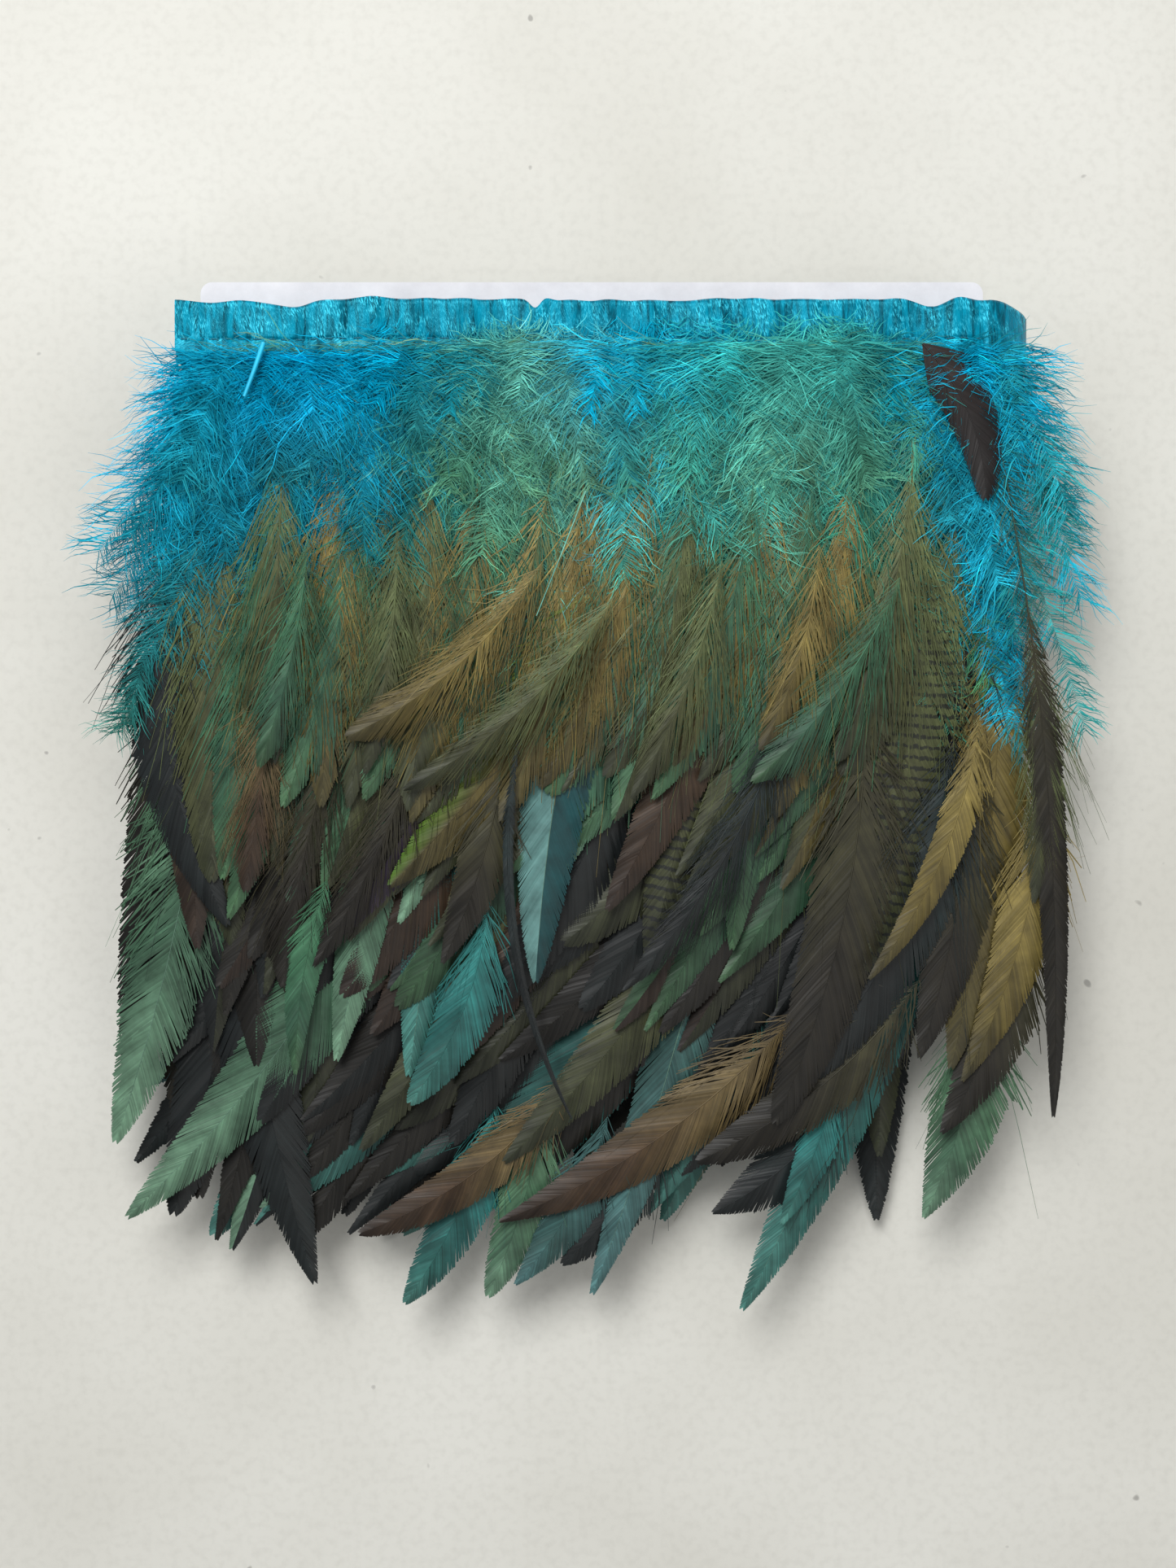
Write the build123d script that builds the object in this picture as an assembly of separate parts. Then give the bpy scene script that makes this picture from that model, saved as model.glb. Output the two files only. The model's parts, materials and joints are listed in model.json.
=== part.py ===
from build123d import *
from math import pi, radians, sin, tan
import os

# Feather fringe trim, one yard or so, wound flat round a card in four passes.
# It lies on its back: X runs along the satin tape, +Y from the tips up to the
# tape, +Z up off the table. Millimetres. Each pass is modelled with the tape's
# folded top edge on y = 0, and everything is moved to the final origin, the
# middle of the underside, at the end.

# Satin ribbon, folded in half lengthwise over the quills
tape_height = 13.0
tape_wall = 0.3
quill_room = 1.2
cut_end_x = -106.0

# Card that the trim is wound on
card_width = 200.0
card_height = 79.0
card_middle_x = -2.0
card_thickness = 0.6
card_stands_out = 7.4
card_corner = 3.0
card_clearance = 0.6

# Sewing thread through both faces of the tape
stitch_length = 2.4
stitch_pitch = 3.6
stitch_width = 0.3
stitch_height = 0.15
stitch_from_lower_edge = 3.2

# Feathers
blade_thickness = 0.22
shaft_height = 0.34
shaft_width = 1.1
feather_pitch = 0.42
quill_radius = 0.4
quill_in_tape = 7.0
blade_root_y = -24.0

# Down at the feathers' bases
down_top_y = -16.0
down_drop = 58.0
down_corner = 6.0
down_round = 1.6
front_down_depth = 6.0
inner_down_depth = 4.0
back_down_depth = 6.0

# How steeply each pass comes down towards its tips, in degrees
front_slope = 2.0
inner_back_slope = 1.3
back_slope = 1.2

pass_clearance = 0.8
down_clearance = 0.3
bend_clearance = 0.5
outer_bend_set_back = 1.5

inner_count = 6
inner_back_count = 5
back_count = 7

# The outer pass in front, from the lowest feather up:
# name, quill x, tip x, tip y, blade width, sideways bow
front_feathers = [
    ("teal_tail_feather", 92, 36, -254, 22, -16),
    ("slate_tail_feather", 44, -2, -250, 18, -10),
    ("blue_black_sickle_feather", -84, -72, -247, 24, 14),
    ("sage_split_feather", -95, -122, -211, 17, -9),
    ("long_sage_feather", -26, -119, -230, 25, -24),
    ("olive_brown_sweep_feather", 62, -24, -216, 22, -22),
    ("olive_leaf_feather", 4, -60, -213, 20, -16),
    ("turquoise_tipped_feather", -37, -48, -194, 18, -4),
    ("curled_sage_feather", -48, -66, -190, 17, -4),
    ("gold_olive_feather", 95, 88, -192, 20, -8),
    ("dark_edge_feather", -90, -93, -156, 18, 18),
    ("green_round_feather", 40, 33, -162, 15, -3),
    ("barred_middle_feather", 30, 12, -166, 20, -5),
    ("barred_right_feather", 78, 66, -168, 22, -6),
    ("violet_feather", -6, -66, -159, 20, -8),
    ("red_brown_feather", 50, 2, -152, 17, -6),
    ("two_tone_slate_feather", 16, -16, -170, 19, 6),
    ("green_edged_olive_feather", 18, -52, -146, 21, -10),
    ("brown_streamer_feather", 96, 113, -204, 6, -6),
    ("short_black_feather", 83, 92, -50, 10, -4),
]

tape_half = quill_room / 2 + tape_wall


def tape_section(x, z):
    """Folded ribbon cut across: two faces joined by the fold along its top."""
    plane = Plane(origin=(x, 0, z), x_dir=(0, 1, 0), z_dir=(1, 0, 0))
    flat = tape_height - tape_half
    outer = Pos(-tape_half) * Circle(tape_half)
    outer += Pos(-tape_half - flat / 2) * Rectangle(flat, 2 * tape_half)
    inner = Pos(-tape_half) * Circle(quill_room / 2)
    inner += Pos(-tape_half - flat / 2) * Rectangle(flat, quill_room)
    return plane * (outer - inner)


def tape_pass(x_from, x_to, z):
    """One straight pass of the folded tape."""
    return extrude(tape_section(x_from, z), amount=x_to - x_from)


def tape_bend(x, z_low, z_high, side):
    """The tape going round an edge of the card, from one pass to another."""
    section = tape_section(x, z_low)
    axis = Axis((x, 0, (z_low + z_high) / 2), (0, -side, 0))
    return revolve(section, axis=axis, revolution_arc=180)


def stitch_row(x_from, x_to, face_z, outward):
    """A row of stitches pulled down flush into one face of the tape."""
    count = int((x_to - x_from) / stitch_pitch)
    first = (x_from + x_to - (count - 1) * stitch_pitch) / 2
    y = -tape_height + stitch_from_lower_edge
    z = face_z - outward * stitch_height / 2
    stitches = []
    for i in range(count):
        place = Pos(first + i * stitch_pitch, y, z)
        stitches.append(place * Box(stitch_length, stitch_width, stitch_height))
    return Compound(stitches)


def rod(start, end, radius):
    """Round bar between two points."""
    run = Vector(*end) - Vector(*start)
    plane = Plane(origin=start, z_dir=run)
    return extrude(plane * Circle(radius), amount=run.length)


def feather_line(quill_x, tip_x, tip_y, bow, t):
    """Point at t on the shaft, which bows sideways, and the direction across it."""
    start = Vector(quill_x, blade_root_y)
    end = Vector(tip_x, tip_y)
    along = (end - start).normalized()
    across = Vector(-along.Y, along.X)
    bend = start + (end - start) * 0.5 - across * 2 * bow
    point = start * (1 - t) ** 2 + bend * 2 * t * (1 - t) + end * t**2
    heading = ((bend - start) * (1 - t) + (end - bend) * t).normalized()
    return point, Vector(-heading.Y, heading.X)


def flat_strip(line, half_widths, z, height):
    """Pointed strip along the shaft with the given half width at each step."""
    sides = []
    for side in (1, -1):
        points = [line(0)[0]]
        for t, half in half_widths:
            centre, across = line(t)
            points.append(centre + across * half * side)
        points.append(line(1)[0])
        sides.append(Spline(*points))
    face = Pos(0, 0, z) * Face(Wire(sides))
    return extrude(face, amount=height, dir=(0, 0, 1))


def feather(quill_x, tip_x, tip_y, width, bow, z, tape_z, slope):
    """Blade and shaft lying on their own level, with the quill bent up to the tape."""

    def line(t):
        return feather_line(quill_x, tip_x, tip_y, bow, t)

    steps = (0.15, 0.4, 0.65, 0.86)
    blade_half = [(t, width / 2 * sin(pi * t**0.75) ** 0.7) for t in steps]
    shaft_half = [(t, shaft_width / 2 * (1 - 0.8 * t)) for t in steps]
    blade = flat_strip(line, blade_half, z, blade_thickness)
    shaft = flat_strip(line, shaft_half, z, shaft_height)
    tilt_axis = Axis((0, blade_root_y, z), (1, 0, 0))
    vane = (blade + shaft).rotate(tilt_axis, slope)
    in_tape = (quill_x, -tape_height + quill_in_tape, tape_z)
    leaves_tape = (quill_x, -tape_height - 1.0, tape_z)
    meets_blade = (quill_x, blade_root_y, z + shaft_height / 2)
    quill = rod(in_tape, leaves_tape, quill_radius)
    quill += Pos(*leaves_tape) * Sphere(quill_radius)
    quill += rod(leaves_tape, meets_blade, quill_radius)
    quill += Pos(*meets_blade) * Sphere(quill_radius)
    return vane + quill


def down(x_from, x_to, z_from, depth, slope):
    """Soft bed of down over one stretch of the trim."""
    width = x_to - x_from
    outline = RectangleRounded(width, down_drop, down_corner)
    middle = ((x_from + x_to) / 2, down_top_y - down_drop / 2, z_from)
    bed = extrude(Pos(*middle) * outline, amount=depth)
    bed = fillet(bed.faces().sort_by(Axis.Z)[-1].edges(), down_round)
    return bed.rotate(Axis((0, blade_root_y, z_from), (1, 0, 0)), slope)


def plain_fringe(prefix, count, z, tape_z, slope, lean, length, width):
    """Evenly strung feathers of a pass that lies under or behind the outer one."""
    first_x = -84.0
    last_x = 88.0
    feathers = {}
    for i in range(count):
        quill_x = first_x + (last_x - first_x) * i / (count - 1)
        tip_x = quill_x - lean * (1 + 0.3 * sin(2.1 * i))
        tip_y = -length + 14 * sin(1.7 * i + 1)
        level = z + feather_pitch * i
        solid = feather(quill_x, tip_x, tip_y, width, 5, level, tape_z, slope)
        feathers[f"{prefix}_{i + 1}"] = solid
    return feathers


def fall(reach, slope):
    """How far a sloping pass comes down over this reach below the blades' roots."""
    return (reach + blade_root_y) * tan(radians(slope))


# Heights of the passes, from the table up
back_z = back_down_depth + down_clearance + quill_radius
back_z += fall(down_drop - down_top_y, back_slope)
back_tape_z = back_z + back_count * feather_pitch / 2
inner_back_z = back_z + back_count * feather_pitch + pass_clearance
inner_back_tape_z = inner_back_z + inner_back_count * feather_pitch / 2
inner_back_top = inner_back_z + inner_back_count * feather_pitch
card_z = inner_back_top + card_clearance
inner_z = card_z + card_thickness + card_clearance + quill_radius
inner_z += fall(card_height - card_stands_out, front_slope)
inner_tape_z = inner_z + inner_count * feather_pitch / 2 + quill_radius
inner_down_z = inner_z + inner_count * feather_pitch + down_clearance
front_z = inner_down_z + inner_down_depth + pass_clearance
front_tape_z = front_z + len(front_feathers) * feather_pitch / 2
front_down_z = front_z + len(front_feathers) * feather_pitch + down_clearance

card_left = card_middle_x - card_width / 2
card_right = card_middle_x + card_width / 2
left_bend_x = card_left - bend_clearance
right_bend_x = card_right + bend_clearance
pass_end = right_bend_x - outer_bend_set_back

nodes = {}

nodes["winding_card"] = extrude(
    Pos(card_middle_x, card_stands_out - card_height / 2, card_z)
    * RectangleRounded(card_width, card_height, card_corner),
    amount=card_thickness,
)

# Each pass of tape: where it starts and ends, its height, and its stitched face
tape_passes = {
    "front_outer": (cut_end_x, pass_end, front_tape_z, 1),
    "front_inner": (left_bend_x, right_bend_x, inner_tape_z, 1),
    "back_inner": (card_left, right_bend_x, inner_back_tape_z, -1),
    "back_outer": (left_bend_x, pass_end, back_tape_z, -1),
}
for pass_name, (x_from, x_to, z, outward) in tape_passes.items():
    stitches = stitch_row(x_from, x_to, z + outward * tape_half, outward)
    nodes[f"{pass_name}_tape"] = tape_pass(x_from, x_to, z) - stitches
    nodes[f"{pass_name}_stitches"] = stitches

nodes["left_tape_bend"] = tape_bend(left_bend_x, back_tape_z, inner_tape_z, -1)
nodes["right_inner_tape_bend"] = tape_bend(
    right_bend_x, inner_back_tape_z, inner_tape_z, 1
)
nodes["right_outer_tape_bend"] = tape_bend(pass_end, back_tape_z, front_tape_z, 1)

front_beds = {
    "left": (-108.0, -57.0),
    "middle_left": (-56.0, 1.0),
    "middle": (2.0, 52.0),
    "right_of_middle": (53.0, 76.0),
    "right": (97.5, 116.0),
}
for side, (x_from, x_to) in front_beds.items():
    bed = down(x_from, x_to, front_down_z, front_down_depth, front_slope)
    nodes[f"front_outer_down_{side}"] = bed
for side, x_from, x_to in (("left", -100.0, -0.5), ("right", 0.5, 100.0)):
    bed = down(x_from, x_to, inner_down_z, inner_down_depth, front_slope)
    nodes[f"front_inner_down_{side}"] = bed
    bed = down(x_from, x_to, -back_down_depth, back_down_depth, 0)
    nodes[f"back_outer_down_{side}"] = mirror(bed, Plane.XY)

for level, (name, quill_x, tip_x, tip_y, width, bow) in enumerate(front_feathers):
    z = front_z + level * feather_pitch
    nodes[name] = feather(quill_x, tip_x, tip_y, width, bow, z, front_tape_z, front_slope)

nodes |= plain_fringe("front_inner_feather", inner_count, inner_z, inner_tape_z,
                      front_slope, 22, 215, 22)
nodes |= plain_fringe("back_inner_feather", inner_back_count, inner_back_z,
                      inner_back_tape_z, inner_back_slope, 18, 205, 22)
nodes |= plain_fringe("back_outer_feather", back_count, back_z, back_tape_z,
                      back_slope, 16, 220, 24)

# The origin goes to the middle of the underside
whole = Compound(list(nodes.values())).bounding_box()
origin = Pos(-whole.center().X, -whole.center().Y, -whole.min.Z)

os.makedirs("parts", exist_ok=True)
for name, solid in nodes.items():
    export_step(origin * solid, f"parts/{name}.step")
print(len(nodes), "nodes, size", whole.size, "moved by", origin.position)
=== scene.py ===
import json
import math

import bpy
import numpy as np
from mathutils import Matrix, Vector


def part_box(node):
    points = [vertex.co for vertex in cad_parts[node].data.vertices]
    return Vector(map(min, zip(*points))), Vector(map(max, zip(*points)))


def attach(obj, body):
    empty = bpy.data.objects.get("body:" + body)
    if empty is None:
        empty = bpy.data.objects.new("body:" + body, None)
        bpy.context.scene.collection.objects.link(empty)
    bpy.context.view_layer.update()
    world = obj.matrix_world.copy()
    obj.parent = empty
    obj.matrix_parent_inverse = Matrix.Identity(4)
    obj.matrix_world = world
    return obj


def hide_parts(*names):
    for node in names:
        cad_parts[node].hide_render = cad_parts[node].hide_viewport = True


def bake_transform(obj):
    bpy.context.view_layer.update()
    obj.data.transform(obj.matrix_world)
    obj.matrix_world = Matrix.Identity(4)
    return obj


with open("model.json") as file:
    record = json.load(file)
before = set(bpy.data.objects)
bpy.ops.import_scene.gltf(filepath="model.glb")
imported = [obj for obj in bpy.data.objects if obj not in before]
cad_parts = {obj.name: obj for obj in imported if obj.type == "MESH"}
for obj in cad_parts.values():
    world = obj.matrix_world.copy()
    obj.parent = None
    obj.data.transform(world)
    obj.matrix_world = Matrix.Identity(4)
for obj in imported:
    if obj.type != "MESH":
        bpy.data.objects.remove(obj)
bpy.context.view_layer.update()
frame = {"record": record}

# Dyed rooster-feather fringe, sewn into a folded satin tape and wound flat round a
# card. Lengths below are millimetres in the tape's own frame: x along the tape,
# y = 0 on its folded top edge and falling towards the tips, z up off the table.

bpy.ops.object.select_all(action="DESELECT")

MM = 0.001
CUT_END = -106.0  # x of the outer pass's cut end
tape_low, tape_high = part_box("front_outer_tape")
TAPE_X = tape_low[0] / MM - CUT_END  # the tape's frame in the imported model's, mm
TAPE_Y = tape_high[1] / MM
PASS_END = tape_high[0] / MM - TAPE_X
TAPE_Z = (tape_low[2] + tape_high[2]) / 2 / MM
TAPE_HEIGHT = (tape_high[1] - tape_low[1]) / MM
FOLD_RADIUS = 0.75  # of the ribbon's turn at the tape's top edge
STITCH_Y = 3.2 - TAPE_HEIGHT  # the seam, up from the open edge
STITCH_PITCH = 3.6
ROOT_Y = -24.0  # where the CAD blades start
FRONT_SLOPE = math.tan(math.radians(2.0))
BACK_SLOPE = math.tan(math.radians(1.2))


slot_of = {row["node"]: row["material_slot"] for row in frame["record"]["subparts"]}


def height_of(node):
    """Lowest and highest z of a CAD node, in millimetres."""
    low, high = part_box(node)
    return low[2] / MM, high[2] / MM


def pass_z(pass_name):
    """The height of a pass's tape, in millimetres."""
    return sum(height_of(pass_name + "_tape")) / 2


def add_object(name, mesh, material):
    """Put a mesh in the scene as an object with one material."""
    mesh.materials.append(material)
    thing = bpy.data.objects.new(name, mesh)
    bpy.context.scene.collection.objects.link(thing)
    return thing


def linear(hex_colour):
    """sRGB hex to linear numbers."""
    parts = [int(hex_colour[i : i + 2], 16) / 255 for i in (1, 3, 5)]
    return [c / 12.92 if c <= 0.04045 else ((c + 0.055) / 1.055) ** 2.4 for c in parts]


def dyed(stops, t):
    """Colours at t along stops, a list of (place, hex)."""
    places = [place for place, _ in stops]
    colours = np.array([linear(colour) for _, colour in stops])
    return np.stack([np.interp(t, places, colours[:, i]) for i in range(3)], -1)


# ---------------------------------------------------------------- materials


def add_node(tree, kind, inputs=(), links=(), **settings):
    """Add a node, give its settings and input values, and link its inputs."""
    node = tree.nodes.new(kind)
    for name, value in settings.items():
        setattr(node, name, value)
    for socket, value in dict(inputs).items():
        node.inputs[socket].default_value = value
    for socket, output in dict(links).items():
        tree.links.new(output, node.inputs[socket])
    return node


def new_material(name, **shader_values):
    """A material with one Principled shader, and its tree and shader."""
    material = bpy.data.materials.new(name)
    material.use_nodes = True
    tree = material.node_tree
    shader = tree.nodes["Principled BSDF"]
    for socket, value in shader_values.items():
        shader.inputs[socket.replace("_", " ")].default_value = value
    return material, tree, shader


def keratin_barb(name, roughness, sheen, gloss, glossy=True, bars=False):
    """Dyed feather barbs: keratin with a dry, slightly silky sheen.

    The dye is uneven from barb to barb, and the vane is mottled every few mm.
    """
    material, tree, shader = new_material(
        name, Roughness=roughness, Sheen_Weight=sheen, Sheen_Roughness=0.4,
        Specular_IOR_Level=gloss, IOR=1.54)
    dye = add_node(tree, "ShaderNodeAttribute", attribute_name="dye")
    place = add_node(tree, "ShaderNodeTexCoord")
    mottle = add_node(
        tree, "ShaderNodeTexNoise", {"Scale": 160.0, "Detail": 3.0, "Roughness": 0.6},
        {"Vector": place.outputs["Object"]})
    depth = add_node(
        tree, "ShaderNodeMapRange",
        {"From Min": 0.3, "From Max": 0.7, "To Min": 0.72, "To Max": 1.28},
        {"Value": mottle.outputs["Fac"]})
    colour = dye.outputs["Color"]
    if bars:
        # Fine dark bars across the vane, about one every 2.6 mm
        vane = add_node(tree, "ShaderNodeUVMap", uv_map="vane")
        wave = add_node(
            tree, "ShaderNodeTexWave",
            {"Scale": 12.0, "Distortion": 2.2, "Detail": 2.0, "Detail Scale": 6.0},
            {"Vector": vane.outputs["UV"]}, bands_direction="Y")
        dark = add_node(
            tree, "ShaderNodeMapRange", {"From Min": 0.62, "From Max": 0.8, "To Max": 0.82},
            {"Value": wave.outputs["Fac"]})
        barred = add_node(
            tree, "ShaderNodeMix", {7: (*linear("#15181A"), 1)},
            {0: dark.outputs["Result"], 6: colour}, data_type="RGBA")
        colour = barred.outputs[2]
    shaded = add_node(
        tree, "ShaderNodeVectorMath", links={0: colour, "Scale": depth.outputs["Result"]},
        operation="SCALE")
    tinted = ("Base Color",) if glossy else ("Base Color", "Specular Tint", "Sheen Tint")
    for socket in tinted:
        tree.links.new(shaded.outputs["Vector"], shader.inputs[socket])
    return material


def satin():
    """Polyester satin ribbon, its light painted into the colour: short bright floats painted as
    highlights where the gathers catch the light, and painted shade in the hollows of the gathers.

    Above the stitches the floats stand upright in the gathers; below them they slant.
    """
    material, tree, shader = new_material(
        "satin_ribbon_polyester", Roughness=0.32, Specular_IOR_Level=0.6,
        Specular_Tint=(*linear("#5FE6FF"), 1), IOR=1.5)
    cloth = add_node(tree, "ShaderNodeUVMap", uv_map="cloth")

    def weave(size, turn, detail, distortion=0.0):
        """Cloudy marks on the cloth of a size in millimetres, across and along it."""
        at = add_node(
            tree, "ShaderNodeMapping", {"Scale": (*size, 1.0), "Rotation": (0, 0, turn)},
            {"Vector": cloth.outputs["UV"]}, vector_type="TEXTURE")
        return add_node(
            tree, "ShaderNodeTexNoise",
            {"Scale": 1.0, "Detail": detail, "Roughness": 0.6, "Distortion": distortion},
            {"Vector": at.outputs["Vector"]})

    upright = weave((0.32, 1.5), 0.25, 2.0, 0.3)
    slanting = weave((0.3, 1.7), -1.05, 2.0)
    split = add_node(tree, "ShaderNodeSeparateXYZ", links={"Vector": cloth.outputs["UV"]})
    above_seam = add_node(
        tree, "ShaderNodeMapRange", {"From Min": 3.1, "From Max": 3.3},
        {"Value": split.outputs["Y"]})
    floats = add_node(
        tree,
        "ShaderNodeMix",
        links={0: above_seam.outputs["Result"], 2: slanting.outputs["Fac"],
               3: upright.outputs["Fac"]},
    ).outputs[0]
    # Painted highlights: the brightest floats, within cloudy patches, are painted a pale cyan as
    # glints of light
    patches = weave((5.0, 7.0), 0.2, 2.0, 0.5)
    bright = add_node(
        tree, "ShaderNodeMapRange", {"From Min": 0.5, "From Max": 0.6}, {"Value": floats})
    where = add_node(
        tree, "ShaderNodeMapRange", {"From Min": 0.44, "From Max": 0.64},
        {"Value": patches.outputs["Fac"]})
    painted_glint = add_node(
        tree, "ShaderNodeMath", links={0: bright.outputs["Result"], 1: where.outputs["Result"]},
        operation="MULTIPLY")
    # Painted shade in the gathers: the ribbon's colour darkens to a deep #003E50 in their hollows
    # and keeps its own cyan #0092B2 where they stand up
    gather = weave((1.6, 12.0), 0.05, 3.0, 0.8)
    painted_gather_shade = add_node(
        tree, "ShaderNodeMapRange", {"From Min": 0.35, "From Max": 0.62},
        {"Value": gather.outputs["Fac"]})
    body = add_node(
        tree, "ShaderNodeMix", {6: (*linear("#003E50"), 1), 7: (*linear("#0092B2"), 1)},
        {0: painted_gather_shade.outputs["Result"]}, data_type="RGBA")
    # The pale cyan #4AE2FE is a painted highlight, laid over the body where the glint mask is high
    colour = add_node(
        tree, "ShaderNodeMix", {7: (*linear("#4AE2FE"), 1)},
        {0: painted_glint.outputs["Value"], 6: body.outputs[2]}, data_type="RGBA")
    tree.links.new(colour.outputs[2], shader.inputs["Base Color"])
    bump = add_node(
        tree, "ShaderNodeBump", {"Strength": 0.6, "Distance": 0.00025}, {"Height": floats})
    tree.links.new(bump.outputs["Normal"], shader.inputs["Normal"])
    return material


def sewing_thread():
    """Spun polyester thread, matt and a shade darker than the ribbon."""
    material, tree, shader = new_material("sewing_thread_polyester", Roughness=0.7)
    place = add_node(tree, "ShaderNodeTexCoord")
    ply = add_node(
        tree, "ShaderNodeTexWave", {"Scale": 900.0, "Distortion": 1.0},
        {"Vector": place.outputs["Object"]}, bands_direction="DIAGONAL")
    ramp = add_node(tree, "ShaderNodeValToRGB", links={"Fac": ply.outputs["Fac"]})
    ramp.color_ramp.elements[0].color = (*linear("#075A6B"), 1)
    ramp.color_ramp.elements[1].color = (*linear("#0B8199"), 1)
    tree.links.new(ramp.outputs["Color"], shader.inputs["Base Color"])
    return material


def paper_card():
    """Smooth uncoated paperboard, faintly lilac, with soft cloudy fibre."""
    material, tree, shader = new_material("winding_card_paperboard", Roughness=0.8)
    place = add_node(tree, "ShaderNodeTexCoord")
    cloud = add_node(
        tree, "ShaderNodeTexNoise", {"Scale": 90.0, "Detail": 6.0, "Roughness": 0.7},
        {"Vector": place.outputs["Object"]})
    ramp = add_node(tree, "ShaderNodeValToRGB", links={"Fac": cloud.outputs["Fac"]})
    ramp.color_ramp.elements[0].position = 0.3
    ramp.color_ramp.elements[0].color = (*linear("#DEDDE1"), 1)
    ramp.color_ramp.elements[1].position = 0.7
    ramp.color_ramp.elements[1].color = (*linear("#F0EFF3"), 1)
    tree.links.new(ramp.outputs["Color"], shader.inputs["Base Color"])
    return material


def painted_floor():
    """Pale satin-painted sheet: worn in clouds, with a fine grain and a few dark specks."""
    material, tree, shader = new_material("pale_painted_floor", Roughness=0.6)
    place = add_node(tree, "ShaderNodeTexCoord").outputs["Object"]

    def layer(under, vector, scale, low, high, colour, share, **noise):
        """Lay a colour over another where the noise runs from low to high."""
        grain = add_node(tree, "ShaderNodeTexNoise", {"Scale": scale, **noise}, {"Vector": vector})
        amount = add_node(
            tree, "ShaderNodeMapRange", {"From Min": low, "From Max": high, "To Max": share},
            {"Value": grain.outputs["Fac"]})
        return add_node(
            tree, "ShaderNodeMix", {7: (*linear(colour), 1)},
            {0: amount.outputs["Result"], 6: under}, data_type="RGBA").outputs[2]

    base = add_node(tree, "ShaderNodeRGB")
    base.outputs[0].default_value = (*linear("#E0DFD7"), 1)
    clouds = layer(base.outputs[0], place, 9.0, 0.35, 0.7, "#CFCDC3", 0.8, Detail=5.0)
    grained = layer(clouds, place, 420.0, 0.45, 0.75, "#B9B7AE", 0.22, Detail=3.0)
    specks = layer(grained, place, 150.0, 0.77, 0.8, "#7E7B76", 0.6, Detail=1.0)
    tree.links.new(specks, shader.inputs["Base Color"])
    return material


VANE = keratin_barb("dyed_rooster_vane", 0.5, 0.02, 0.4)
BARRED = keratin_barb("dyed_barred_vane", 0.5, 0.02, 0.4, bars=True)
DOWN = keratin_barb("dyed_feather_down", 0.75, 0.1, 0.12, glossy=False)
SATIN = satin()
THREAD = sewing_thread()
CARD = paper_card()

# ------------------------------------------------------- barbs and feathers


def barb_shape(spans, tip_width):
    """Model one barb: a strip one unit long that narrows to its tip.

    Returns how far along and how far across each vertex is, and the faces.
    """
    bpy.ops.object.select_all(action="DESELECT")
    bpy.ops.mesh.primitive_plane_add(size=1, location=(0, 0, 0))
    strip = bpy.context.object
    for part in (strip.data.vertices, strip.data.edges, strip.data.polygons):
        part.foreach_set("select", [False] * len(part))
    for vertex in strip.data.vertices:
        vertex.select = vertex.co.x > 0
        vertex.co.x = (vertex.co.x + 0.5) / spans
    for edge in strip.data.edges:
        edge.select = all(strip.data.vertices[i].select for i in edge.vertices)
    bpy.ops.object.mode_set(mode="EDIT")
    bpy.ops.mesh.select_mode(type="EDGE")
    for _ in range(spans - 1):
        bpy.ops.mesh.extrude_region_move(TRANSFORM_OT_translate={"value": (1 / spans, 0, 0)})
    bpy.ops.object.mode_set(mode="OBJECT")
    points = np.array([v.co[:] for v in strip.data.vertices])
    faces = np.array([p.vertices[:] for p in strip.data.polygons])
    bpy.data.objects.remove(strip)
    along = points[:, 0]
    taper = 1 - (1 - tip_width) * along**4
    return along, points[:, 1] * taper, faces


VANE_BARB = barb_shape(3, 0.5)
DOWN_BARB = barb_shape(5, 0.25)


class Batch:
    """Vertices, faces, dye and maps of many barbs, gathered for one mesh."""

    def __init__(self, cells=1):
        self.cells = cells
        self.cell = 0
        names = ("points", "dye", "vane", "atlas", "soft", "faces")
        self.parts = {name: [] for name in names}
        self.count = 0

    def add(self, points, dye, vane, atlas, soft, faces):
        """All by vertex but the faces, of four vertices each; soft is the light's normal."""
        self.parts["points"].append(points.reshape(-1, 3))
        self.parts["soft"].append(soft.reshape(-1, 3))
        self.parts["dye"].append(np.clip(dye.reshape(-1, 3), 0, 1))
        self.parts["vane"].append(vane.reshape(-1, 2))
        self.parts["atlas"].append(atlas.reshape(-1, 2))
        self.parts["faces"].append(faces.reshape(-1, 4) + self.count)
        self.count += points.reshape(-1, 3).shape[0]

    def mesh_object(self, name, material):
        """One object with the batch's mesh, its dye attribute and its maps."""
        joined = {k: np.concatenate(v) for k, v in self.parts.items()}
        points = joined["points"] + (TAPE_X, TAPE_Y, 0)
        points[:, 2] = np.maximum(points[:, 2], 0.15)  # pressed flat by the table
        faces = joined["faces"]
        mesh = bpy.data.meshes.new(name)
        mesh.vertices.add(len(points))
        mesh.vertices.foreach_set("co", (points * MM).astype(np.float32).ravel())
        mesh.loops.add(faces.size)
        mesh.loops.foreach_set("vertex_index", faces.astype(np.int32).ravel())
        mesh.polygons.add(len(faces))
        starts = np.arange(0, faces.size, 4, dtype=np.int32)
        mesh.polygons.foreach_set("loop_start", starts)
        mesh.update(calc_edges=True)
        dye = mesh.attributes.new("dye", "FLOAT_COLOR", "POINT")
        rgba = np.concatenate([joined["dye"], np.ones((len(points), 1))], 1)
        dye.data.foreach_set("color", rgba.astype(np.float32).ravel())
        for map_name, key in (("vane", "vane"), ("OFBake", "atlas")):
            layer = mesh.uv_layers.new(name=map_name, do_init=False)
            uv = joined[key][faces.ravel()]
            layer.uv.foreach_set("vector", uv.astype(np.float32).ravel())
        mesh.shade_smooth()
        soft = joined["soft"] / np.linalg.norm(joined["soft"], axis=1, keepdims=True)
        mesh.normals_split_custom_set_from_vertices(soft.tolist())
        return add_object(name, mesh, material)


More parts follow.
